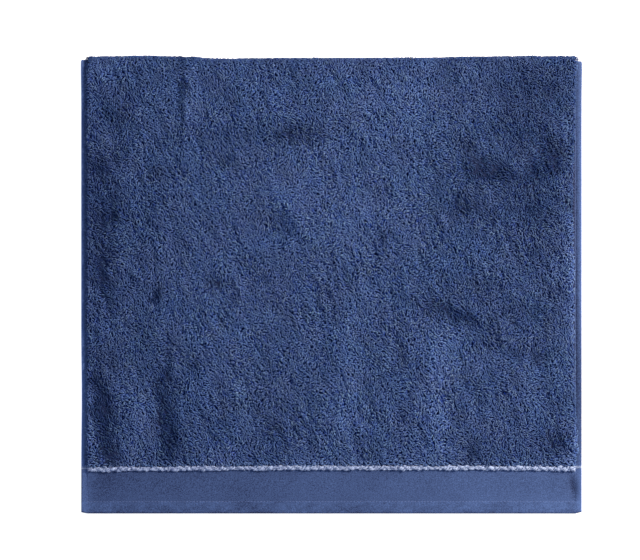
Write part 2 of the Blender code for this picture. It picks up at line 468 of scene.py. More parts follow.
def dressed(piece: bpy.types.Object, slot: str, *nodes: str) -> bpy.types.Object:
    """A piece that rides with the towel and hides the CAD nodes that it stands for.

    Args:
        piece: the object.
        slot: the record's material slot; not used.
        nodes: CAD nodes that it stands for.

    Returns:
        The same object.
    """
    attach(piece, BODY)
    if nodes:
        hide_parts(*nodes)
    LOG.info("%s: %d faces", piece.name, len(piece.data.polygons))
    return piece


def joined(parts: list[tuple[Array, Array]], lowest: float) -> tuple[Array, Array]:
    """Parts of a mesh put together.

    Args:
        parts: points and faces of each part.
        lowest: height under which no point lies.

    Returns:
        All points and all faces.
    """
    starts = np.cumsum([0] + [len(points) for points, _ in parts])
    points = np.concatenate([points for points, _ in parts])
    points[:, 2] = np.maximum(points[:, 2], lowest)
    return points, np.concatenate([faces + start for (_, faces), start in zip(parts, starts)])


def repeated_faces(shape: list[list[int]], size: int, count: int) -> Array:
    """Faces of many small forms of one shape, whose points follow each other.

    Args:
        shape: point numbers of the three-cornered faces of one form.
        size: points in a form.
        count: number of forms.

    Returns:
        An array of faces.
    """
    return (np.array(shape)[None] + size * np.arange(count)[:, None, None]).reshape(-1, 3)


def tube(path: Array, radius: Array, sides: int) -> tuple[Array, Array, Array]:
    """An open tube round a path.

    Args:
        path: one row of X, Y and Z a station.
        radius: radius at each station.
        sides: points in a ring.

    Returns:
        Its points, its faces and the angle of each point round the path, with 0 upwards.
    """
    along = directions(np.gradient(path, axis=0))
    aside = directions(np.cross(along, [0.0, 0.0, 1.0]))
    up = np.cross(aside, along)
    turn = 2.0 * math.pi * np.arange(sides) / sides
    circle = np.cos(turn)[None, :, None] * up[:, None] + np.sin(turn)[None, :, None] * aside[:, None]
    points = path[:, None] + circle * radius[:, None, None]
    ring, side = np.meshgrid(np.arange(len(path) - 1) * sides, np.arange(sides), indexing="ij")
    after = (side + 1) % sides
    faces = np.stack([ring + side, ring + after, ring + sides + after, ring + sides + side], -1)
    angles = np.broadcast_to(turn, (len(path), sides))
    return points.reshape(-1, 3), faces.reshape(-1, 4), angles.ravel()


# ---- The folded cloth ----


@dataclass(frozen=True)
class SoftPlace:
    """A place with a soft edge: its middle, half lengths and turn in degrees, and its strength, which is
    a height or a lightness."""

    x: float
    y: float
    half_x: float
    half_y: float
    turn: float
    strength: float

    def at(self, x: Array, y: Array) -> Array:
        """Its strength at other places.

        Args:
            x: X of each point.
            y: Y of each point.

        Returns:
            Its strength at each point, which fades to 0 away from its middle.
        """
        turn = math.radians(self.turn)
        across = (x - self.x) * math.cos(turn) + (y - self.y) * math.sin(turn)
        along = (y - self.y) * math.cos(turn) - (x - self.x) * math.sin(turn)
        return self.strength * np.exp(-((across / self.half_x) ** 2) - (along / self.half_y) ** 2)


def soft_places(*rows: tuple[float, ...]) -> tuple[SoftPlace, ...]:
    """Soft places, each from a row of its values."""
    return tuple(SoftPlace(*row) for row in rows)


@dataclass(frozen=True)
class FoldedForm:
    """The form in which the towel lies. A point on its cloth is given by x, across the towel, and run,
    the way along the cloth from the upper half's hem over the fold to the lower half's hem. Its place is
    its distance from the nearer hem's end."""

    width: float = 500.0
    length: float = 457.5
    back_short: float = 1.5  # how far the lower half's hem lies inside the upper one
    side_hem: float = 6.2
    corner_lift: float = 1.2
    fold_radius: float = 3.2
    hem_fold_radius: float = 2.6
    fold_bulge: float = 42.0
    hem_fold_short: tuple[float, float] = (3.5, 5.0)  # how far either side hem's fold lies back
    row_bow: float = 1.2
    row_tilt: float = 0.4
    drawn_depth: float = 0.55  # the left side is drawn in a little round one place
    drawn_at: float = -112.0
    drawn_reach: float = 38.0
    swell_fade: float = 30.0
    fold_run: float = 16.0  # outer arc of the cloth round the fold
    field_run: float = 389.0  # plain pile of either half
    end_full: float = 0.9  # place from which the turned hem has its full thickness
    hem_edge: float = 11.4  # place at which the turned hem starts to step down
    hem_seam: float = 12.2  # place at which it is sewn down
    border_end: float = 41.4
    row_middle: float = 45.6  # place of the middle of the raised row
    row_end: float = 48.2  # place at which its seat ends
    pile_start: float = 48.9
    sections: Table = (  # one row for each place, in the order of Column
        (0.0, 1.5, 0.90, 3.30, 1.5, 0.90, 3.30, 0.4),
        (0.9, 2.4, 1.20, 4.00, 2.4, 1.20, 4.00, 0.4),
        (11.4, 2.4, 1.20, 4.00, 2.4, 1.20, 4.00, 0.4),
        (12.6, 1.4, 1.45, 4.15, 2.2, 1.20, 4.00, 0.4),
        (27.0, 1.4, 1.90, 4.40, 2.2, 1.10, 3.90, 0.4),
        (41.4, 1.4, 2.50, 4.80, 2.2, 1.10, 3.90, 0.4),
        (48.2, 1.4, 2.50, 4.80, 2.2, 1.10, 3.90, 0.4),
        (48.9, 3.5, 2.05, 6.05, 2.2, 1.10, 3.95, 2.0),
        (52.0, 3.9, 2.05, 6.35, 2.2, 1.10, 4.00, 3.0),
        (62.0, 4.2, 2.10, 6.70, 2.2, 1.10, 4.10, 3.0),
    )
    fold_line: Table = (  # how far the fold lies back from the straight line, by X
        (-250, 0.6), (-215, 0.5), (-190, 0.1), (-150, 0.6), (-112, 2.6),
        (0, 2.1), (85, 1.9), (135, 0.9), (195, 0.0), (250, 0.4),
    )
    swells: tuple[SoftPlace, ...] = soft_places(  # soft rises of the upper half
        (-150, 60, 70, 110, 0, 0.8), (10, 10, 110, 150, 0, 1.1), (150, 60, 70, 110, 0, 0.7),
        (-200, -110, 16, 60, 4, 0.9), (-119, -110, 22, 60, -3, 1.0), (12, -85, 14, 75, 2, 1.0),
        (105, -105, 22, 65, -4, 1.2), (195, -90, 34, 80, 6, 0.8), (-65, 150, 24, 60, 0, 0.5),
        (205, 120, 30, 70, 0, 0.5),
    )

    @property
    def pile_half(self) -> float:
        """Half the width of the pile, which lies between the side hems."""
        return self.width / 2 - self.side_hem

    @property
    def end_run(self) -> float:
        """Distance from a hem's end to the full pile."""
        return self.sections[-1][Column.PLACE]

    @property
    def fold_start(self) -> float:
        """Run at which the fold starts."""
        return self.end_run + self.field_run

    @property
    def fold_end(self) -> float:
        """Run at which the fold ends."""
        return self.fold_start + self.fold_run

    @property
    def total_run(self) -> float:
        """Run at the lower half's hem."""
        return self.fold_end + self.field_run + self.end_run

    def section(self, place: Array | float, column: Column) -> Array:
        """One column of the table of sections, at each place."""
        return between_rows(self.sections, place, column)

    def inner_share(self, x: Array, shoulder: Array | float) -> Array:
        """0 over the side hems, 1 past the shoulder inside them, rounded between the two."""
        return rounded((self.pile_half - np.abs(x)) / shoulder)

    def fold_back(self, x: Array) -> Array:
        """How far the fold lies back from the straight line.

        Args:
            x: places across the towel.

        Returns:
            The distance at each of them.
        """
        line = np.array(self.fold_line)
        slot = np.clip(np.searchsorted(line[:, 0], x) - 1, 0, len(line) - 2)
        left, right = line[slot], line[slot + 1]
        share = (x - left[..., 0]) / (right[..., 0] - left[..., 0])
        return mix(left[..., 1], right[..., 1], ease(share))

    def row_shift(self, x: Array) -> Array:
        """How far the raised row lies from its mean place."""
        side = x / (self.width / 2)
        return self.row_bow * (0.5 - side * side) + self.row_tilt * side

    def row_y(self, place: Array, x: Array, end_y: float) -> Array:
        """Y of points of an end of the cloth.

        Args:
            place: distance of each point from the hem's end.
            x: its place across the towel.
            end_y: Y of the hem's end.

        Returns:
            Y of each point.
        """
        above = (self.end_run - place) / (self.end_run - self.row_end)
        y = end_y + place + self.row_shift(x) * ease(place / self.border_end) * ease(above)
        outside = (np.abs(x) - self.pile_half) / self.side_hem
        return y + self.corner_lift * np.maximum(0.0, outside) * (1.0 - ease(place / self.hem_edge))

    def drawn_in(self, x: Array, y: Array) -> Array:
        """X after the left side's slight drawing in."""
        pull = self.drawn_depth * bell((y - self.drawn_at) / self.drawn_reach)
        return x + pull * ease(-2.0 * x / self.width)

    def swell_lift(self, x: Array, y: Array) -> Array:
        """Height of the upper half's soft swells.

        Args:
            x: X of each point.
            y: Y of each point.

        Returns:
            The height at each point, which fades out at the border and the fold.
        """
        lift = sum(swell.at(x, y) for swell in self.swells)
        low_fade = ease((y - (self.end_run - self.length / 2)) / self.swell_fade)
        high_fade = ease((self.length / 2 - self.fold_bulge / 3 - y) / self.swell_fade)
        return lift * low_fade * high_fade

    def fold_shape(self, x: Array) -> tuple[Array, Array]:
        """The form of the fold.

        Args:
            x: places across the towel.

        Returns:
            Radius of the cloth's middle at the fold, and Y of the fold's axis.
        """
        pile = self.sections[-1]
        share = self.inner_share(x, pile[Column.SHOULDER])
        full = self.length / 2 - self.fold_back(x)
        short = np.where(x < 0.0, *self.hem_fold_short)
        pile_axis = full - self.fold_radius - pile[Column.THICK] / 2
        hem_axis = full - short - self.hem_fold_radius - pile[Column.HEM_THICK] / 2
        return mix(self.hem_fold_radius, self.fold_radius, share), mix(hem_axis, pile_axis, share)

    def layer_heights(self, place: Array, x: Array) -> tuple[Array, Array, Array]:
        """How thick the cloth is and how high it lies.

        Args:
            place: distance of each point from a hem's end.
            x: its place across the towel.

        Returns:
            Thickness, and height of the middle in the back and in the front layer.
        """
        share = self.inner_share(x, self.section(place, Column.SHOULDER))
        thick = mix(self.section(place, Column.HEM_THICK), self.section(place, Column.THICK), share)
        back = mix(self.section(place, Column.HEM_BACK), self.section(place, Column.BACK), share)
        front = mix(self.section(place, Column.HEM_FRONT), self.section(place, Column.FRONT), share)
        return thick, back, front

    def hem_distance(self, run: Array) -> Array:
        """Distance to the nearer hem's end, as far as the full pile."""
        return np.clip(np.minimum(run, self.total_run - run), 0.0, self.end_run)

    def middle(self, x: Array, run: Array) -> tuple[Array, Array, Array, Array]:
        """The middle of the cloth.

        Args:
            x: place across the towel.
            run: way along the cloth.

        Returns:
            Y, Z, the full thickness of cloth and pile, and the angle by which the outer side has
            turned from facing down.
        """
        place = self.hem_distance(run)
        thick, back, front = self.layer_heights(place, x)
        radius, axis_y = self.fold_shape(x)
        whole = np.full_like(x, self.end_run)
        _, field_back, field_front = self.layer_heights(whole, x)
        front_end = -self.length / 2
        back_end = front_end + self.back_short
        front_share = np.clip((run - self.end_run) / self.field_run, 0.0, 1.0)
        front_y = np.where(
            run <= self.end_run,
            self.row_y(place, x, front_end),
            mix(self.row_y(whole, x, front_end), axis_y, front_share),
        )
        bulge = 1.0 - ease((axis_y - front_y) / self.fold_bulge)
        front_z = front + (field_back + 2.0 * radius - field_front) * bulge + self.swell_lift(x, front_y)
        lean = math.pi * (1.0 - np.clip((run - self.fold_start) / self.fold_run, 0.0, 1.0))
        back_share = np.clip((run - self.fold_end) / self.field_run, 0.0, 1.0)
        back_y = np.where(
            run >= self.total_run - self.end_run,
            self.row_y(place, x, back_end),
            mix(axis_y, self.row_y(whole, x, back_end), back_share),
        )
        zone = [run < self.fold_start, run <= self.fold_end]
        y = np.select(zone, [front_y, axis_y + radius * np.sin(lean)], back_y)
        z = np.select(zone, [front_z, field_back + radius * (1.0 - np.cos(lean))], back)
        return y, z, thick, lean

    def skin(self, x: Array, run: Array, offset: Array) -> Array:
        """Points at a distance from the cloth's middle.

        Args:
            x: place across the towel.
            run: way along the cloth.
            offset: the distance, measured towards the cloth's outer side.

        Returns:
            One row of X, Y and Z a point.
        """
        y, z, _, lean = self.middle(x, run)
        moved_y, moved_z = y + offset * np.sin(lean), z - offset * np.cos(lean)
        return np.stack([self.drawn_in(x, moved_y), moved_y, moved_z], -1)

    def pile_point(self, x: Array, run: Array) -> Array:
        """Points of the outer face of the pile."""
        return self.skin(x, run, self.middle(x, run)[2] / 2)

    def pile_face(self, x: Array, run: Array) -> tuple[Array, Array, Array, Array]:
        """The outer face of the pile.

        Args:
            x: place across the towel.
            run: way along the cloth.

        Returns:
            Its points, and its directions across, along and outwards.
        """
        step = 0.4  # over which the face's slope is measured
        across = self.pile_point(x + step, run) - self.pile_point(x - step, run)
        along = self.pile_point(x, run + step) - self.pile_point(x, run - step)
        out = directions(np.cross(across, along))
        across = directions(across)
        return self.pile_point(x, run), across, np.cross(out, across), out


@dataclass
class ClothSheet:
    """The towel's flat weave: ground under the pile, borders, and turned hems at all four edges."""

    form: FoldedForm
    ground: float = 0.8  # thickness of the weave under the pile
    edge_round: float = 1.1
    edge_least: float = 0.12  # share of the thickness that is left at the very edge
    column_step: float = 5.0
    field_step: float = 16.0
    fold_steps: int = 16
    # Columns of points by their distance from the towel's side, and rows by their place.
    side_columns: tuple[float, ...] = (
        0.0, 0.12, 0.35, 0.7, 1.1, 1.8, 2.8, 3.8, 4.6, 5.2, 5.6, 6.0, 6.4, 6.8, 7.4, 8.2, 9.4, 11.0, 13.0,
    )
    hem_rows: tuple[float, ...] = (
        0.0, 0.12, 0.35, 0.7, 1.1, 1.8, 3.0, 4.5, 6.0, 7.5, 9.0, 10.2, 11.0, 11.4, 11.8, 12.2, 12.6, 13.4,
    )
    border_rows: tuple[float, float, float] = (15.5, 39.0, 2.2)  # the first, their end and their step
    step_rows: tuple[float, ...] = (
        40.2, 41.0, 41.4, 41.9, 42.5, 43.5, 45.0, 47.0, 48.2, 48.9, 50.4, 52.0, 55.0, 58.5, 62.0,
    )
    bulge_rows: tuple[float, ...] = (30.0, 22.0, 15.0, 9.0, 4.0)  # by their distance from the fold
    pucker: float = 0.10  # unevenness that the stitching gives the hems
    pucker_end: float = 14.0  # place at which it ends
    groove_depth: float = 0.3  # the seam beside each side hem
    groove_width: float = 0.8
    groove_shares: tuple[float, float] = (0.1, 0.7)  # it hardly shows on the left
    groove_fade: tuple[float, float] = (42.0, 6.0)  # place at which it starts, and its reach from there
    furrow_at: float = 41.9  # the raised row presses a narrow furrow into the border below it
    furrow_width: float = 0.9
    furrow_depth: float = 0.08
    furrow_short: float = 8.0  # how far it ends from the towel's sides
    crease: SoftPlace = SoftPlace(241.4, -201.5, 4.0, 13.0, 8.0, -1.1)
    crease_shade: float = 0.34
    border_tone: float = 0.425
    hem_tone: float = 0.455  # tone at the turned hem's end
    hem_tone_rise: float = 0.003  # and its rise with each millimetre
    cloudiness: float = 0.04
    hem_cloudiness: float = 0.09
    painted_light_to_right: float = 0.12  # painted light: the cloth is a little paler towards the right
    edge_shade: float = 0.45
    beside_light: tuple[float, float] = (0.18, 0.04)  # painted light: the border is paler beside either side hem
    beside_reach: tuple[float, float] = (7.0, 4.0)
    border_hem: float = 0.31  # painted light: how much paler the left side hem is along the border
    pile_shade: tuple[float, float] = (48.0, 1.5)  # place at which the painted shade under the pile starts, and the reach
    # Paler and darker patches of the border and the hem, by X and place.
    patches: tuple[SoftPlace, ...] = soft_places(
        (-195, 8, 45, 12, 0, 0.06), (-85, 6, 20, 7, 0, 0.05), (-5, 6, 40, 7, 0, -0.05),
        (215, 8, 60, 14, 0, 0.06), (-212, 40, 20, 14, 0, -0.05), (246.5, 9, 2.6, 7, 0, 0.14),
    )
    # Painted light and shade of each side hem, by Y: how much paler it is at its inner side and at the
    # towel's edge.
    left_hem: Table = (
        (-140, 0.22, 0.90), (-60, 0.20, 0.80), (-20, 0.08, 0.60), (134, 0.04, 0.42), (205, -0.05, 0.55),
    )
    right_hem: Table = (
        (-190, 0.02, 0.28), (-165, -0.12, -0.02), (-125, -0.30, -0.15), (-95, -0.42, -0.06),
        (-65, -0.50, 0.08), (-5, -0.50, 0.50), (34, -0.40, 0.42), (134, -0.38, 0.42),
        (150, -0.22, 0.24), (229, -0.22, 0.24),
    )

    def columns(self) -> Array:
        """Places across the towel.

        Returns:
            X of each column of points, close together at the side hems.
        """
        near = np.array(self.side_columns)
        half = self.form.width / 2
        steps = round(2.0 * (half - near[-1]) / self.column_step)
        middle = np.linspace(-half + near[-1], half - near[-1], steps + 1)[1:-1]
        return np.concatenate([-half + near, middle, (half - near)[::-1]])

    def rows(self) -> Array:
        """Ways along the cloth.

        Returns:
            Run of each row of points, close together at the hems, the borders and the fold.
        """
        form = self.form
        end = np.concatenate([self.hem_rows, np.arange(*self.border_rows), self.step_rows])
        steps = round(form.field_run / self.field_step)
        plain = np.linspace(form.end_run, form.fold_start, steps + 1)[1:]
        bulge = form.fold_start - np.array(self.bulge_rows)
        field_rows = np.sort(np.concatenate([plain[plain < bulge[0] - 2.0], bulge]))
        fold = np.linspace(form.fold_start, form.fold_end, self.fold_steps + 1)
        back = form.total_run - np.concatenate([end, plain[:-1]])
        return np.concatenate([end, field_rows, fold, np.sort(back)])

    def thickness(self, x: Array, run: Array) -> Array:
        """Thickness of the weave.

        Args:
            x: place across the towel.
            run: way along the cloth.

        Returns:
            The thickness at each point, rounded off at the towel's edges.
        """
        form = self.form
        place = form.hem_distance(run)
        share = form.inner_share(x, form.section(place, Column.SHOULDER))
        plain = np.where(place > form.row_end, self.ground, form.section(place, Column.THICK))
        thick = mix(form.section(place, Column.HEM_THICK), plain, share)
        thick = np.where(place < form.end_full, form.section(form.end_full, Column.THICK), thick)
        round_side = rounded((form.width / 2 - np.abs(x)) / self.edge_round)
        round_end = rounded(np.minimum(run, form.total_run - run) / self.edge_round)
        return thick * np.maximum(self.edge_least, np.minimum(round_side, round_end))

    @staticmethod
    def painted_hem_light(table: Table, y: Array, share: Array) -> Array:
        """Painted light and shade of a side hem at each Y, by the share of its outer tone."""
        return mix(between_rows(table, y, 1), between_rows(table, y, 2), share)

    def side_light(self, x: Array, y: Array, place: Array) -> Array:
        """How much paler or darker the cloth is painted over the side hems, as painted light and shade, and
        the painted light beside them along the border.

        Args:
            x: place of each point across the towel.
            y: its Y on the upper half.
            place: its distance from a hem's end.

        Returns:
            The change of tone at each point.
        """
        form = self.form
        left, along_border = x < 0.0, place < form.row_end
        past_seam = np.abs(x) - form.width / 2 + form.side_hem
        over = np.clip(past_seam / form.side_hem, 0.0, 1.0)
        border = mix(self.beside_light[0], self.border_hem, ease(4.0 * over))
        border = border * (1.0 - ease((over - 0.8) * 6.0))
        pile = self.painted_hem_light(self.left_hem, y, ease((over - 0.25) / 0.55))
        hem = np.where(left, np.where(along_border, border, pile), self.painted_hem_light(self.right_hem, y, over))
        beside = np.where(left, *self.beside_light) * bell(past_seam / np.where(left, *self.beside_reach))
        return hem * (over > 0.0) + beside * (over <= 0.0) * along_border

    def tone(self, x: Array, run: Array) -> Array:
        """How light the weave is: painted shade makes it deep under the pile; it is paler on the border and
        the hems, with painted light and shade at the side hems.

        Args:
            x: place across the towel.
            run: way along the cloth.

        Returns:
            The tone at each point, from 0 to 1.
        """
        form = self.form
        place, y = form.hem_distance(run), run - form.length / 2
        on_hem = place < form.hem_seam
        cloth = np.where(on_hem, self.hem_tone + self.hem_tone_rise * place, self.border_tone)
        cloth = cloth + self.cloudiness * layered_unevenness(x, run, {14.0: 1.0, 40.0: 1.0}, 61)
        hem_clouds = layered_unevenness(x, run, {3.0: 1.0, 7.0: 1.0, 18.0: 0.8}, 64)
        cloth = cloth + self.hem_cloudiness * hem_clouds * on_hem
        cloth = cloth + self.painted_light_to_right * x / form.width * 2.0
        cloth = cloth + sum(patch.at(x, place) for patch in self.patches)
        cloth = cloth - self.edge_shade * bell(place / self.edge_round)
        cloth = cloth + np.where(run < form.fold_start, self.crease_shade * self.crease.at(x, y), 0.0)
        cloth = cloth + self.side_light(x, y, place)
        share = form.inner_share(x, form.section(place, Column.SHOULDER))
        # painted shade: under the pile the weave goes to the dark end
        return np.clip(mix(cloth, 0.0, ramp(place, *self.pile_shade) * share), 0.0, 1.0)

    def pressed_in(self, x: Array, place: Array) -> Array:
        """How far the outer side is pressed in, by the side hems' seams and by the raised row.

        Args:
            x: place of each point across the towel.
            place: its distance from a hem's end.

        Returns:
            The depth at each point.
        """
        form = self.form
        seam = (np.abs(x) - form.pile_half) / self.groove_width
        groove = self.groove_depth * bell(seam - 0.3) * np.where(x < 0.0, *self.groove_shares)
        groove = groove * ramp(place, *self.groove_fade)
        furrow = self.furrow_depth * bell((place - self.furrow_at) / self.furrow_width)
        return groove + furrow * (np.abs(x) < form.width / 2 - self.furrow_short)

    def build(self, weave: bpy.types.Material) -> bpy.types.Object:
        """The sheet as one closed mesh.

        Args:
            weave: the material of the flat weave.

        Returns:
            The object.
        """
        form = self.form
        columns, rows = self.columns(), self.rows()
        x, run = (part.ravel() for part in np.meshgrid(columns, rows, indexing="ij"))
        place, half_thick = form.hem_distance(run), self.thickness(x, run) / 2
        hem_wave = self.pucker * unevenness(x, run, 3.2, 51) * (place < self.pucker_end)
        side_wave = self.pucker * unevenness(x, run, 3.6, 52) * (np.abs(x) > form.pile_half)
        sides = []
        for facing, depth in ((1.0, self.pressed_in(x, place)), (-1.0, 0.0)):
            points = form.skin(x, run, facing * half_thick + hem_wave + side_wave - depth)
            points[:, 2] += np.where(run < form.fold_start, self.crease.at(x, points[:, 1]), 0.0)
            points[:, 2] = np.maximum(points[:, 2], FLOOR_GAP)
            sides.append(points)
        count, shift = len(rows), len(x)
        across, along = np.arange(len(columns) - 1) * count, np.arange(count - 1)
        first = (across[:, None] + along).ravel()
        outer = np.stack([first, first + count, first + count + 1, first + 1], -1)
        faces = [outer, outer[:, ::-1] + shift]
        for low, reverse in ((across, False), (across + count - 1, True)):
            quad = np.stack([low, low + shift, low + count + shift, low + count], -1)
            faces.append(quad[:, ::-1] if reverse else quad)
        for low, reverse in ((along, False), (along + (len(columns) - 1) * count, True)):
            quad = np.stack([low, low + 1, low + 1 + shift, low + shift], -1)
            faces.append(quad[:, ::-1] if reverse else quad)
        tone = self.tone(x, run)
        spot = np.stack([(x / form.width + 0.5) * 0.48 + 0.01, run / form.total_run * 0.98 + 0.01], -1)
        bake_map = np.concatenate([spot, spot + [0.5, 0.0]])
        tones = {"tone": np.concatenate([tone, tone])}
        made = mesh_object("towel_cloth", np.concatenate(sides), faces, weave, tones, bake_map)
        return dressed(made, TERRY_SLOT, "towel")


# ---- The pile ----


@dataclass(frozen=True)
class Chance:
    """What chance gives each loop of a piece of pile."""

    turn: Array
    length: Array
    width: Array
    standing: Array
    slip: Array
    dye: Array
    paleness: Array

    @classmethod
    def drawn(cls, rng: np.random.Generator, count: int) -> "Chance":
        """Draws values for some loops, in the order of the fields.

        Args:
            rng: where they are drawn from.
            count: number of loops.

        Returns:
            The values.
        """
        return cls(
            turn=rng.normal(size=count),
            length=rng.uniform(0.8, 1.2, count),
            width=rng.uniform(0.85, 1.15, count),
            standing=rng.normal(size=count),
            slip=rng.normal(size=count),
            dye=rng.uniform(-1.0, 1.0, count),
            paleness=rng.normal(size=count),
        )


@dataclass(frozen=True)
class Seats:
    """Where the loops of a piece of pile stand: the places and directions of the pile's face there, the
    way along and beside its nap, how it is brushed, how uneven it is, how far the loop is from the raised
    row, and the share by which it is over the fold."""

    x: Array
    run: Array
    base: Array
    across: Array
    along: Array
    out: Array
    upwards: Array
    beside: Array
    brushed: Array
    rough: Array
    from_row: Array
    over_fold: Array


@dataclass
class LoopPile:
    """The pile, one loop at a time. Each loop is a short bent piece of yarn that rises out of the ground
    and goes back into it, and neighbours lean together in tufts, which gives the pile its grain."""

    form: FoldedForm
    front_strips: int = 4
    back_strips: int = 2
    pitch: float = 1.76  # distance between loops
    row_share: float = 0.87  # distance between their rows, as a share of that
    scatter: float = 0.35  # and how far one may be out of place
    back_pitch: float = 1.8  # the hidden half has fewer and larger loops
    back_size: float = 1.7
    loop_length: float = 4.2
    yarn: float = 1.18  # width of the soft yarn as it lies
    crest: float = 1.5  # height of a crest over the ground
    ground_below: float = 1.7  # from the pile's face down to the ground
    root_below: float = 0.7  # and from there down to a loop's root
    knee_share: float = 0.30  # how far from its middle a loop bends, as a share of its length
    crest_spread: float = 0.31
    tuft_height: float = 1.05
    tuft_size: float = 4.5
    roll_height: float = 0.45
    nap: float = 111.0  # the way the pile leans, anticlockwise from across the towel
    nap_change: float = 100.0
    turn_spread: float = 36.0
    slip_share: float = 0.125  # how far a crest slips sideways, as a share of the loop's length
    tuft_stretch: float = 2.8
    roughness_change: float = 0.5  # some patches lie smooth and others stand rough
    brushed_change: float = 0.12  # where the pile is brushed flat, its loops are less even
    fold_smoothing: float = 0.14  # how much smoother it lies towards the fold
    smooth_from: tuple[float, float] = (140.0, 50.0)  # Y from which it does so, and the reach
    yarn_height: float = 0.58  # how high a loop's own colour lies between depth and crest
    yarn_spread: float = 0.134
    standing_share: float = 0.85  # how far the colour of a loop follows the height of its crest: painted light on loops that stand high, painted shade on low ones
    mottle: float = 0.385
    # painted shade where the pile is brushed flat, painted light where it stands up
    brushed_painted_light_and_shade: float = 0.70
    brushed_dip: float = 1.25
    # How far the pile stands out over the right side hem, by Y.
    right_edge: Table = (
        (-155, 1.0), (-125, 0.5), (-95, -0.4), (-65, -1.2), (-5, -1.4),
        (25, -2.0), (115, -2.0), (145, 0.0), (205, 0.3), (229, 0.8),
    )
    right_from: tuple[float, float] = (200.0, 43.0)  # X from which it does so, and the reach
    left_edge: float = 1.8  # and over the left one
    left_from: tuple[float, float] = (225.0, 18.0)
    left_held: tuple[float, float] = (195.0, 25.0)  # Y from which the fold holds it back, and the reach
    row_edge: float = 1.05  # and towards the raised row
    row_reach: float = 5.0
    dye_patch: float = 9.0  # size of the patches in which the dye took alike
    hem_painted_shade: float = 0.28  # painted shade on the outermost loops, which lie lower
    hem_painted_shade_from: tuple[float, float] = (240.0, 3.0)
    # painted shade over the fold
    fold_painted_shade: float = 0.2
    row_painted_light: float = 0.2  # painted light on loops that lean over the raised row
    row_painted_light_reach: float = 7.0
    edge_lift: float = 0.55  # height to which the colour tends where the outermost loops lie open, which evens out the painted shade and highlight there
    open_at_row: tuple[float, float] = (0.6, 4.0)  # how open they are there, and the reach
    open_at_side: tuple[float, float] = (0.5, 2.0)
    corner_fill: tuple[float, float] = (2.0, 4.2)  # how far it stands out at the fold's two corners
    fold_calm: float = 0.55  # how much more even the pile is where it is stretched over the fold
    fold_press: float = 0.35  # and how much lower
    # How high the colour lies at the loop's eight points, as a share of its own height: the roots carry the
    # painted shade of the depth, the ridge the painted highlight of the crest.
    point_lifts: tuple[float, ...] = (0.0, 0.27, 0.32, 1.0, 0.34, 0.25, 0.96, 0.02)
    # How much its tone differs between them.
    point_tones: tuple[float, ...] = (0.0, -0.01, 0.01, 0.0, -0.01, 0.01, 0.0, 0.0)
    # Where the pile is brushed flat and lies lower, with painted shade in its colour, from the left side to
    # the right, with -1 for the darkest creases.
    flattened: tuple[SoftPlace, ...] = soft_places(
        (-228, -130, 8, 48, 9, -1.0), (-219, -168, 6, 16, 20, -0.5), (-164, -144, 9, 42, 8, -0.95),
        (-165, -80, 6, 28, -3, -0.45), (-231, 118, 12, 15, 15, -0.75), (-219, 78, 12, 24, 0, -0.4),
        (-215, 165, 11, 16, 15, -0.45), (-210, 132, 11, 12, 0, -0.35), (-226, 12, 8, 22, 8, -0.5),
        (-230, 45, 12, 55, 0, -0.4), (-217, -12, 10, 14, 0, -0.35), (-174, -12, 6.5, 8, 0, -0.75),
        (-190, -60, 14, 40, 0, -0.25), (-215, -75, 8, 10, 0, -0.3), (-149.5, 198, 4.2, 44, 0, -0.65),
        (-176, 112, 8, 8, 0, -0.4), (-185, 75, 22, 20, 0, -0.2), (-109, 122, 8, 8, 0, -0.4),
        (-115, 3, 12, 6, 0, -0.5), (-138, -80, 7, 9, 0, -0.4), (-62, -142, 16, 26, 20, -0.3),
        (-100, -122, 14, 7, -20, -0.3), (-37, 150, 24, 9, 4, -0.6), (-90, 150, 34, 12, 0, -0.2),
        (-50, 62, 8, 15, 35, -0.4), (-68, 18, 7, 14, 20, -0.25), (52, 47, 9, 9, 0, -0.4),
        (68, -75, 6, 16, 0, -0.35), (-3, -12, 4, 12, 0, -0.25), (40, -165, 6, 10, 0, -0.3),
        (93, 78, 9, 10, 0, -0.25), (118, -29, 42, 8, -20, -0.6), (140, -4, 34, 18, -20, -0.25),
        (158, 114, 22, 11, -12, -0.85), (132, 136, 12, 6, -35, -0.45), (131, 112, 14, 12, 0, -0.3),
        (190, 108, 18, 10, 0, -0.45), (219, 123, 15, 15, 0, -0.75), (200, 143, 44, 18, 0, -0.38),
        (200, 190, 38, 40, 0, -0.42), (172, 190, 6, 12, 0, -0.3), (110, 206, 10, 16, 0, -0.35),
        (130, 78, 12, 10, 0, -0.3), (206, 78, 22, 28, 0, -0.3), (165, 76, 62, 34, 0, -0.3),
        (240, 78, 7, 14, 0, -0.35), (206, 30, 16, 26, 0, -0.3), (205, -30, 26, 15, 0, -0.35),
        (172, -64, 24, 10, -20, -0.3), (206, -68, 16, 7, 8, -0.5), (222, -10, 10, 9, 0, -0.3),
        (222, -157, 10, 13, 0, -0.6), (138, -166, 9, 15, 0, -0.55),
    )
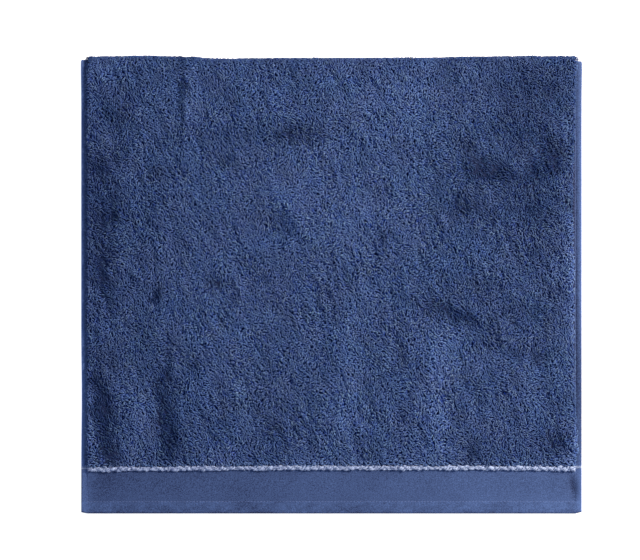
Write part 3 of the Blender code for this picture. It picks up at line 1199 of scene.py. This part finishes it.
    # Where it stands up, with painted light in its colour.
    raised: tuple[SoftPlace, ...] = soft_places(
        (110, -66, 13, 26, -4, 0.4), (101, -125, 14, 62, -3, 0.5), (12, -150, 15, 40, 0, 0.4),
        (18, -80, 12, 50, 0, 0.25), (0, 75, 75, 65, 0, 0.27), (70, 188, 34, 32, 0, 0.42),
        (17, 194, 12, 18, 0, 0.3), (162, 52, 12, 9, 0, 0.35), (-91, 102, 14, 12, 0, 0.3),
        (-93, 2, 11, 12, 0, 0.3), (-110, -175, 14, 12, 0, 0.4), (-138, 184, 6, 32, 0, 0.4),
        (-88, -52, 12, 14, 30, 0.2), (-195, -140, 12, 42, 5, 0.25), (-75, 190, 14, 30, 0, 0.2),
        (-226, 214, 18, 11, 0, 0.45), (-243, -120, 4, 40, 6, 0.4), (241, 20, 7, 36, 0, 0.65),
        (241, -50, 7, 34, 0, 0.45), (241, -160, 8, 24, 0, 0.6), (193, -95, 8, 30, -4, 0.2),
    )
    rng: np.random.Generator = field(default_factory=lambda: np.random.default_rng(20))

    def brushing(self, x: Array, y: Array) -> Array:
        """How the pile of the upper half is brushed, in places with ragged edges.

        Args:
            x: X of each point.
            y: Y of each point.

        Returns:
            From about -1 where it lies flat to about 1 where it stands up.
        """
        ragged = {6.0: 2.6, 14.0: 4.0}
        moved_x = x + layered_unevenness(x, y, ragged, 41)
        moved_y = y + layered_unevenness(x, y, ragged, 45)
        return sum(place.at(moved_x, moved_y) for place in self.flattened + self.raised)

    def scattered(self, low: float, high: float, pitch: float) -> tuple[Array, Array]:
        """Places of loops, in staggered rows with some scatter.

        Args:
            low: run at which they start.
            high: run at which they end.
            pitch: distance between them.

        Returns:
            Place across and run of each loop.
        """
        half, scatter = self.form.pile_half, self.scatter
        across = round(2.0 * half / pitch)
        along = round((high - low) / (pitch * self.row_share))
        column, row = np.meshgrid(np.arange(across), np.arange(along), indexing="ij")
        x = -half + (column + 0.25 + 0.5 * (row % 2)) * 2.0 * half / across
        run = low + (row + 0.5) * (high - low) / along
        x = x + self.rng.uniform(-scatter, scatter, x.shape) * pitch
        run = run + self.rng.uniform(-scatter, scatter, x.shape) * pitch
        return np.clip(x, -half + 0.1, half - 0.1).ravel(), np.clip(run, low, high).ravel()

    def seats(self, x: Array, run: Array, upper: bool) -> Seats:
        """Where loops stand, with the outermost ones moved out over the hems and the raised row.

        Args:
            x: place of each loop across the towel.
            run: place of each loop along the cloth.
            upper: whether they are on the half that lies on top.

        Returns:
            Their seats.
        """
        form, nap = self.form, math.radians(self.nap)
        base, across, along, out = form.pile_face(x, run)
        base[:, 0] += between_rows(self.right_edge, base[:, 1], 1) * ramp(x, *self.right_from)
        held = 1.0 - 0.9 * ramp(base[:, 1], *self.left_held)
        base[:, 0] -= self.left_edge * ramp(-x, *self.left_from) * held
        from_row = form.hem_distance(run) - form.pile_start
        base[:, 1] -= self.row_edge * (1.0 - ease(from_row / self.row_reach))
        brushed = self.brushing(x, base[:, 1]) if upper else np.zeros(len(x))
        rough = 1.0 + self.roughness_change * unevenness(x, run, 12.0, 9)
        rough = rough * (1.0 - self.brushed_change * brushed)
        rough = rough * (1.0 - self.fold_smoothing * ramp(base[:, 1], *self.smooth_from))
        return Seats(
            x=x,
            run=run,
            base=base,
            across=across,
            along=along,
            out=out,
            upwards=(x * math.cos(nap) + run * math.sin(nap)) / self.tuft_stretch,
            beside=run * math.cos(nap) - x * math.sin(nap),
            brushed=brushed,
            rough=rough,
            from_row=from_row,
            over_fold=ease((run - form.fold_start + 3.0) / 6.0) * ease((form.fold_end - run) / 4.0),
        )

    def rise(self, seats: Seats, chance: Chance) -> Array:
        """How high the loops stand.

        Args:
            seats: where they stand.
            chance: what chance gives them.

        Returns:
            Height of each crest over the pile's even face.
        """
        form = self.form
        tuft_sizes = {self.tuft_size: 0.6, self.tuft_size / 2: 0.5}
        tuft = layered_unevenness(seats.upwards, seats.beside, tuft_sizes, 7) * seats.rough
        roll = layered_unevenness(seats.upwards, seats.beside, {5.0: 0.8, 9.0: 0.8, 16.0: 0.6}, 31)
        rise = self.crest_spread * chance.standing * seats.rough + self.tuft_height * tuft
        rise = rise + self.roll_height * roll
        rise = rise * (1.0 - self.fold_calm * seats.over_fold) - self.fold_press * seats.over_fold
        rise = rise + self.crest + self.brushed_dip * seats.brushed - self.ground_below
        corner = np.where(seats.x < 0.0, *self.corner_fill)
        at_hem = 1.0 - form.inner_share(seats.x, form.sections[-1][Column.SHOULDER])
        return rise + corner * at_hem * seats.over_fold

    def loop_points(self, seats: Seats, chance: Chance, size: float) -> Array:
        """The eight points of each loop: a root, three round its first bend, three round its second bend
        and the other root.

        Args:
            seats: where the loops stand.
            chance: what chance gives them.
            size: their size against the visible pile's.

        Returns:
            One row of X, Y and Z a point.
        """
        lean = math.radians(self.nap_change) * unevenness(seats.x, seats.run, 14.0, 5)
        turn = math.radians(self.nap) + lean + math.radians(self.turn_spread) * chance.turn
        long, wide = size * self.loop_length * chance.length, size * self.yarn * chance.width
        rise = self.rise(seats, chance)
        slip = chance.slip * self.slip_share * long
        lay = np.cos(turn)[:, None] * seats.across + np.sin(turn)[:, None] * seats.along
        aside = np.cross(seats.out, lay)

        def at(forward: Array, side: Array, height: Array) -> Array:
            """A point of every loop, from its middle on the pile's face."""
            ahead = seats.base + lay * forward[:, None]
            return ahead + aside * side[:, None] + seats.out * height[:, None]

        knee, level = self.knee_share * long, np.zeros_like(long)
        root = level - self.ground_below - self.root_below
        flank, ridge = rise - 0.5 * wide, rise + 0.32 * wide
        corners = [
            at(-long / 2, level, root),
            at(-knee, slip - wide / 2, flank),
            at(-knee, slip + wide / 2, flank),
            at(-0.9 * knee, slip, ridge),
            at(knee, slip - wide / 2, flank),
            at(knee, slip + wide / 2, flank),
            at(0.9 * knee, slip, ridge),
            at(long / 2, level, root),
        ]
        points = np.stack(corners, 1).reshape(-1, 3)
        points[:, 2] = np.maximum(points[:, 2], 0.0)
        return points

    def colours(self, seats: Seats, chance: Chance) -> tuple[Array, Array, Array]:
        """What the loops' material reads, with painted light and shade in the tone and the lift.

        Args:
            seats: where the loops stand.
            chance: what chance gives them.

        Returns:
            Tone and lift of each point, and which dye it took, from 0 to 2.
        """
        sizes = {3.0: 0.28, 6.0: 0.20, 11.0: 0.14, 22.0: 0.08}
        mottle = layered_unevenness(seats.upwards, seats.beside, sizes, 21)
        # The mottle is random; the brushing, the outermost loops, the fold and the raised row add painted
        # light and shade.
        tone = 0.5 + self.mottle * mottle + self.brushed_painted_light_and_shade * seats.brushed
        tone = tone - self.hem_painted_shade * ramp(np.abs(seats.x), *self.hem_painted_shade_from)
        tone = tone - self.fold_painted_shade * seats.over_fold
        tone = tone + self.row_painted_light * (1.0 - ease(seats.from_row / self.row_painted_light_reach))
        tones = np.clip(tone, 0.02, 0.98)[:, None] + np.array(self.point_tones)
        dye_sizes = {self.dye_patch: 0.7, 2.5 * self.dye_patch: 0.6}
        patch = layered_unevenness(seats.x, seats.run, dye_sizes, 71)
        dye = np.clip(np.round(1.0 + 1.4 * patch + 0.5 * chance.dye), 0.0, 2.0)
        own_share = math.sqrt(1.0 - self.standing_share**2)
        pale = self.standing_share * chance.standing + own_share * chance.paleness
        height = np.clip(self.yarn_height + self.yarn_spread * pale * seats.rough, 0.08, 0.98)
        lifts = height[:, None] * np.array(self.point_lifts)
        from_side = self.form.pile_half - np.abs(seats.x)
        near = ((seats.from_row, self.open_at_row), (from_side, self.open_at_side))
        at_row, at_side = (share * (1.0 - ease(way / reach)) for way, (share, reach) in near)
        lifts = mix(lifts, self.edge_lift, np.maximum(at_row, at_side)[:, None])
        return tones.ravel(), lifts.ravel(), np.repeat(dye, len(self.point_lifts))

    def loops(
        self, name: str, x: Array, run: Array, size: float, upper: bool, terry: bpy.types.Material
    ) -> bpy.types.Object:
        """One piece of pile.

        Args:
            name: the piece's name.
            x: place of each loop across the towel.
            run: place of each loop along the cloth.
            size: the loops' size against the visible pile's.
            upper: whether they are on the half that lies on top.
            terry: their material.

        Returns:
            The object.
        """
        seats, chance = self.seats(x, run, upper), Chance.drawn(self.rng, len(x))
        points = self.loop_points(seats, chance, size)
        shape = [[0, 3, 2], [0, 1, 3], [1, 4, 6], [1, 6, 3], [3, 6, 5], [3, 5, 2], [7, 6, 4], [7, 5, 6]]
        faces = repeated_faces(shape, len(self.point_lifts), len(x))
        tones, lifts, dyes = self.colours(seats, chance)
        kept = {"tone": tones, "lift": lifts, "dye": dyes / 2.0}
        spot = np.stack([(dyes + tones) / 3.0, 0.01 + 0.98 * lifts], -1)
        return dressed(mesh_object(name, points, [faces], terry, kept, spot), TERRY_SLOT)

    def build(self, terry: bpy.types.Material) -> list[bpy.types.Object]:
        """The pile of both halves, in strips across the towel.

        Args:
            terry: the material of the loops.

        Returns:
            The pieces.
        """
        form, pieces = self.form, []
        back_end, back_pitch = form.total_run - form.pile_start, self.pitch * self.back_pitch
        halves = (
            (Layer.FRONT, form.pile_start, form.fold_end, self.front_strips, self.pitch, 1.0),
            (Layer.BACK, form.fold_end, back_end, self.back_strips, back_pitch, self.back_size),
        )
        for layer, start, end, strips, pitch, size in halves:
            for strip in range(strips):
                low, high = mix(start, end, strip / strips), mix(start, end, (strip + 1) / strips)
                x, run = self.scattered(low, high, pitch)
                name = f"pile_{layer.value}_{strip + 1}"
                pieces.append(self.loops(name, x, run, size, layer is Layer.FRONT, terry))
        return pieces


# ---- The raised rows and the sewing ----


@dataclass
class AccentRow:
    """The raised row above a border: a soft white rope that lies along the cloth. Its two strands turn
    round each other, and each strand is a loose skein of thin plies."""

    form: FoldedForm
    layer: Layer
    length: float = 486.5
    strands: int = 2
    plies: int = 5
    lay: float = 14.7  # distance in which a strand turns once round the other
    ply_lay: float = 6.3  # distance in which a ply turns once round its strand
    strand_offset: float = 1.0  # from the rope's middle to a strand's middle
    ply_offset: float = 1.35  # from a strand's middle to a ply's middle
    ply_radius: float = 0.68
    looseness: float = 1.8  # how far a ply strays in its turn round the strand
    wander: float = 0.25  # how far the whole rope strays from its line
    fuzz: tuple[float, float] = (0.2, 0.22)  # how far a ply's points stray along and across
    girth_change: tuple[float, float] = (0.16, 0.10)  # how uneven the rope is over 5 and 17 mm
    spread_change: float = 0.40  # and how uneven the plies' distance from their strand's middle is
    thickness_change: float = 0.50  # and their own thickness
    fleck_mean: float = 0.74  # tone of the yarn, and how it changes along a ply and along the rope
    fleck_change: tuple[float, float] = (0.50, 0.1)
    groove_lift: float = 0.45  # how high the colour lies down in the rope, and how it rises from there: painted shade low in the rope
    crest_lift: float = 0.38
    round_lift: float = 0.1  # and how it changes round each ply: a painted highlight on its top, painted shade beneath
    rise: float = 0.9  # height of the rope's middle over the cloth
    back_height: float = 1.45  # and over the floor on the lower half
    flatness: tuple[float, float] = (0.66, 0.5)  # how flat it is pressed on the upper and lower half
    painted_light_to_right: float = 0.12  # painted light: it is a little whiter towards the right
    dull_depth: float = 0.12  # and a little duller near its left end
    dull_at: float = -208.0
    dull_reach: float = 30.0
    station: float = 1.1
    sides: int = 5
    lowest: float = 0.05
    rng: np.random.Generator = field(default_factory=lambda: np.random.default_rng(31))

    def seat(self) -> tuple[float, float, float, float]:
        """Where the rope lies.

        Returns:
            Y of the hem's end, height of the rope's middle, the side that it stands proud to, and how
            flat it is pressed.
        """
        form = self.form
        if self.layer is Layer.FRONT:
            border = form.section(form.row_end, Column.FRONT)
            face = border + form.section(form.row_end, Column.THICK) / 2
            return -form.length / 2, face + self.rise, 1.0, self.flatness[0]
        return -form.length / 2 + form.back_short, self.back_height, -1.0, self.flatness[1]

    def build(self, chenille: bpy.types.Material) -> bpy.types.Object:
        """The rope, ply by ply.

        Args:
            chenille: its material.

        Returns:
            The object.
        """
        form, draw = self.form, self.rng
        end_y, seat_z, facing, flatness = self.seat()
        count = round(self.length / self.station) + 1
        x = np.linspace(-self.length / 2, self.length / 2, count)
        middle_y = end_y + form.row_middle + form.row_shift(x) + self.wander * unevenness(x, 0.0, 9.0, 91)
        taper = np.maximum(0.1, ease((self.length / 2 - np.abs(x) + 0.6) / 2.2))
        short_change, long_change = self.girth_change
        swelling = 1.0 + short_change * unevenness(x, 0.0, 5.0, 92)
        swelling = swelling + long_change * unevenness(x, 0.0, 17.0, 93)
        drift = unevenness(x, 0.0, 10.0, 94)
        ply_change, rope_change = self.fleck_change
        dullness = self.dull_depth * bell((x - self.dull_at) / self.dull_reach)
        painted_light_and_dullness = self.painted_light_to_right * x / self.length * 2.0 - dullness
        reach = self.strand_offset + self.ply_offset
        parts, tones, lifts = [], [], []
        for strand in range(self.strands):
            turn = 2.0 * math.pi * (x / self.lay + strand / self.strands) + drift
            for ply in range(self.plies):
                own = 100.0 * strand + 17.0 * ply
                spin = 2.0 * math.pi * (ply / self.plies - x / self.ply_lay)
                spin = spin + self.looseness * unevenness(x, own, 7.0, 95)
                apart = self.ply_offset * (1.0 + self.spread_change * unevenness(x, own, 2.4, 96))
                aside = self.strand_offset * np.cos(turn) + apart * np.cos(spin)
                high = self.strand_offset * np.sin(turn) + apart * np.sin(spin)
                path_x = form.drawn_in(x, middle_y) + self.fuzz[0] * draw.uniform(-1.0, 1.0, count)
                path_y = middle_y + aside * swelling + self.fuzz[1] * draw.uniform(-1.0, 1.0, count)
                path = np.stack([path_x, path_y, seat_z + facing * flatness * high * swelling], -1)
                uneven = 1.0 + self.thickness_change * unevenness(x, own, 1.5, 97)
                thick = self.ply_radius * swelling * uneven
                points, faces, angle = tube(path, thick * taper, self.sides)
                parts.append((points, faces))
                fleck = self.fleck_mean + ply_change * unevenness(x, own, 1.4, 98)
                fleck = fleck + rope_change * unevenness(x, 0.0, 30.0, 99)
                tones.append(np.repeat(fleck + painted_light_and_dullness, self.sides))
                # Colour lies low down in the rope and under each ply as painted shade, and high on top as a
                # painted highlight.
                height = np.repeat(0.5 + 0.5 * high / reach, self.sides)
                turned = self.round_lift * facing * np.cos(angle)
                lifts.append(self.groove_lift + self.crest_lift * height + turned)
        points, faces = joined(parts, self.lowest)
        tone, lift = (np.clip(np.concatenate(values), 0.02, 0.98) for values in (tones, lifts))
        name, kept = f"accent_rope_{self.layer.value}", {"tone": tone, "lift": lift}
        made = mesh_object(name, points, [faces], chenille, kept, np.stack([tone, lift], -1))
        return dressed(made, CHENILLE_SLOT, f"accent_row_{self.layer.value}")


@dataclass
class Sewing:
    """Single stitches along the turned hems and the side hems, on both outer faces, and the thin weft
    ends of the raised rows that run out over the side hems."""

    cloth: ClothSheet
    stitch: float = 2.6
    gap: float = 0.6
    thread: float = 0.28  # radius
    dip: float = 0.15  # how far a stitch's ends go into the cloth
    hem_ends: tuple[float, float] = (7.0, 6.9)  # how far the hem's seam keeps from the towel's sides
    side_seam: float = 7.6  # distance of the seam from the towel's side, in the pile's edge
    side_start: float = 52.0  # the side seam shows along the pile alone
    weft_lines: tuple[float, ...] = (1.9, 0.4)  # places of the weft ends beside the row's middle
    weft_span: tuple[float, float] = (7.5, 0.25)  # where they start and end, from the towel's side
    weft_radius: float = 0.36
    weft_proud: float = 0.2  # height of their middle over the cloth
    weft_tone: float = 0.85
    weft_stations: int = 7
    weft_sides: int = 5

    def stitches(self, x: Array, run: Array) -> tuple[Array, Array]:
        """Separate stitches along a line on the cloth's outer face.

        Args:
            x: place across the towel of the line's points, evenly spaced.
            run: way along the cloth of the same points.

        Returns:
            Points and faces.
        """
        form = self.cloth.form
        base, _, _, out = form.pile_face(x, run)
        over_cloth = form.middle(x, run)[2] / 2 - self.cloth.thickness(x, run) / 2
        base = base - out * over_cloth[:, None]
        ahead = directions(np.gradient(base, axis=0))
        aside = np.cross(out, ahead)
        half, thin = self.stitch / 2, self.thread
        corners = [
            base - ahead * half - out * self.dip,
            base + aside * thin,
            base + out * thin * 1.3,
            base - aside * thin,
            base - out * thin,
            base + ahead * half - out * self.dip,
        ]
        shape = [[0, 1, 2], [0, 2, 3], [0, 3, 4], [0, 4, 1], [5, 2, 1], [5, 3, 2], [5, 4, 3], [5, 1, 4]]
        return np.stack(corners, 1).reshape(-1, 3), repeated_faces(shape, len(corners), len(x))

    def build(self, thread: bpy.types.Material) -> bpy.types.Object:
        """All stitches as one piece.

        Args:
            thread: the sewing thread's material.

        Returns:
            The object.
        """
        form, step = self.cloth.form, self.stitch + self.gap
        half, (first, last) = form.width / 2, self.hem_ends
        across = np.arange(-half + first, half - last, step)
        along = np.arange(self.side_start, form.total_run - self.side_start, step)
        lines = [
            (across, np.full_like(across, form.hem_seam)),
            (across, np.full_like(across, form.total_run - form.hem_seam)),
            (np.full_like(along, -half + self.side_seam), along),
            (np.full_like(along, half - self.side_seam), along),
        ]
        points, faces = joined([self.stitches(x, run) for x, run in lines], FLOOR_GAP)
        spot = points[:, :2] / [form.width, form.length] * 0.9 + 0.5
        return dressed(mesh_object("hem_stitches", points, [faces], thread, {}, spot), TERRY_SLOT)

    def weft_ends(self, chenille: bpy.types.Material) -> bpy.types.Object:
        """The pale weft ends over the side hems.

        Args:
            chenille: the rows' material.

        Returns:
            The object.
        """
        form, parts = self.cloth.form, []
        inner, outer = (form.width / 2 - distance for distance in self.weft_span)
        radius = np.full(self.weft_stations, self.weft_radius)
        for layer in Layer:
            for side in (-1.0, 1.0):
                for offset in self.weft_lines:
                    x = side * np.linspace(inner, outer, self.weft_stations)
                    place = form.row_middle + offset
                    run = np.full_like(x, place if layer is Layer.FRONT else form.total_run - place)
                    path = form.skin(x, run, self.cloth.thickness(x, run) / 2 + self.weft_proud)
                    parts.append(tube(path, radius, self.weft_sides)[:2])
        points, faces = joined(parts, FLOOR_GAP)
        tone = np.full(len(points), self.weft_tone)
        kept, spot = {"tone": tone, "lift": tone}, 0.5 + 0.02 * np.sin(points[:, :2] * 9.0)
        return dressed(mesh_object("weft_ends", points, [faces], chenille, kept, spot), CHENILLE_SLOT)


# ---- The studio ----


@dataclass
class Studio:
    """Plain white studio: a paper floor, a soft main light from the right and even light all round."""

    camera_x: float = -11.5
    camera_y: float = 4.6
    camera_height: float = 1513.6
    lens: float = 85.0
    sensor: float = 36.0
    key_azimuth: float = 28.0
    key_elevation: float = 30.0
    key_distance: float = 2600.0
    key_size: float = 600.0
    key_power: float = 135.0
    key_hex: str = "ffeed8"
    wall_top: float = 0.40  # sine of the height angle up to which the surround is white
    ceiling: float = 0.70  # and from which it is dim
    wall_hex: str = "f1f6ff"
    ceiling_hex: str = "7484a0"
    floor_half: float = 9000.0

    def floor(self) -> None:
        """The paper floor."""
        half = self.floor_half
        points = np.array([[-half, -half, 0.0], [half, -half, 0.0], [half, half, 0.0], [-half, half, 0.0]])
        made = mesh_object("studio_floor", points, [np.array([[0, 1, 2, 3]])], StudioPaper().material())

    def lights(self) -> None:
        """The main light and the light all round."""
        turn, rise = math.radians(self.key_azimuth), math.radians(self.key_elevation)
        towards = Vector((math.cos(rise) * math.cos(turn), math.cos(rise) * math.sin(turn), math.sin(rise)))
        key = bpy.data.lights.new("soft_key", "AREA")
        key.shape = "SQUARE"
        key.size = self.key_size * METRES
        key.energy = self.key_power
        key.color = linear(self.key_hex)[:3]
        lamp = bpy.data.objects.new("soft_key", key)
        lamp.location = towards * (self.key_distance * METRES)
        lamp.rotation_mode = "QUATERNION"
        lamp.rotation_quaternion = towards.to_track_quat("Z", "Y")
        lamp.visible_camera = False
        bpy.context.scene.collection.objects.link(lamp)
        world = bpy.data.worlds.new("studio_walls")
        world.use_nodes = True
        tree = world.node_tree
        direction = add_node(tree, "ShaderNodeTexCoord").outputs["Generated"]
        upwards = add_node(tree, "ShaderNodeSeparateXYZ", {}, {}, {0: direction}).outputs["Z"]
        share = add_node(
            tree,
            "ShaderNodeMapRange",
            {"interpolation_type": "SMOOTHSTEP"},
            {"From Min": self.wall_top, "From Max": self.ceiling},
            {"Value": upwards},
        )
        ends = {MIX_LOW: linear(self.wall_hex), MIX_HIGH: linear(self.ceiling_hex)}
        colour = add_node(tree, "ShaderNodeMix", COLOUR_MIX, ends, {MIX_SHARE: share.outputs[0]})
        tree.links.new(colour.outputs[MIX_OUT], tree.nodes["Background"].inputs["Color"])
        bpy.context.scene.world = world

    def camera(self) -> None:
        """The camera, straight above the towel."""
        made = bpy.data.cameras.new("camera")
        made.lens = self.lens
        made.sensor_width = self.sensor
        holder = bpy.data.objects.new("camera", made)
        holder.location = (self.camera_x * METRES, self.camera_y * METRES, self.camera_height * METRES)
        bpy.context.scene.collection.objects.link(holder)
        bpy.context.scene.camera = holder

    def build(self) -> None:
        """Floor, lights, camera and plain colour."""
        self.floor()
        self.lights()
        self.camera()
        bpy.context.scene.view_settings.view_transform = "Standard"
        bpy.context.scene.view_settings.look = "None"


def main() -> None:
    """Builds the towel piece by piece, then the studio round it."""
    logging.basicConfig(level=logging.INFO, format="%(message)s")
    form = FoldedForm()
    terry, weave, chenille = TerryLoops().material(), FlatWeave().material(), TwistedChenille().material()
    sheet = ClothSheet(form)
    cloth = sheet.build(weave)
    on_cloth = LoopPile(form).build(terry)
    for layer in Layer:
        on_cloth.append(AccentRow(form, layer).build(chenille))
    sewing = Sewing(sheet)
    on_cloth += [sewing.build(SewingThread().material()), sewing.weft_ends(chenille)]
    Studio().build()


if __name__ == "__main__":
    main()
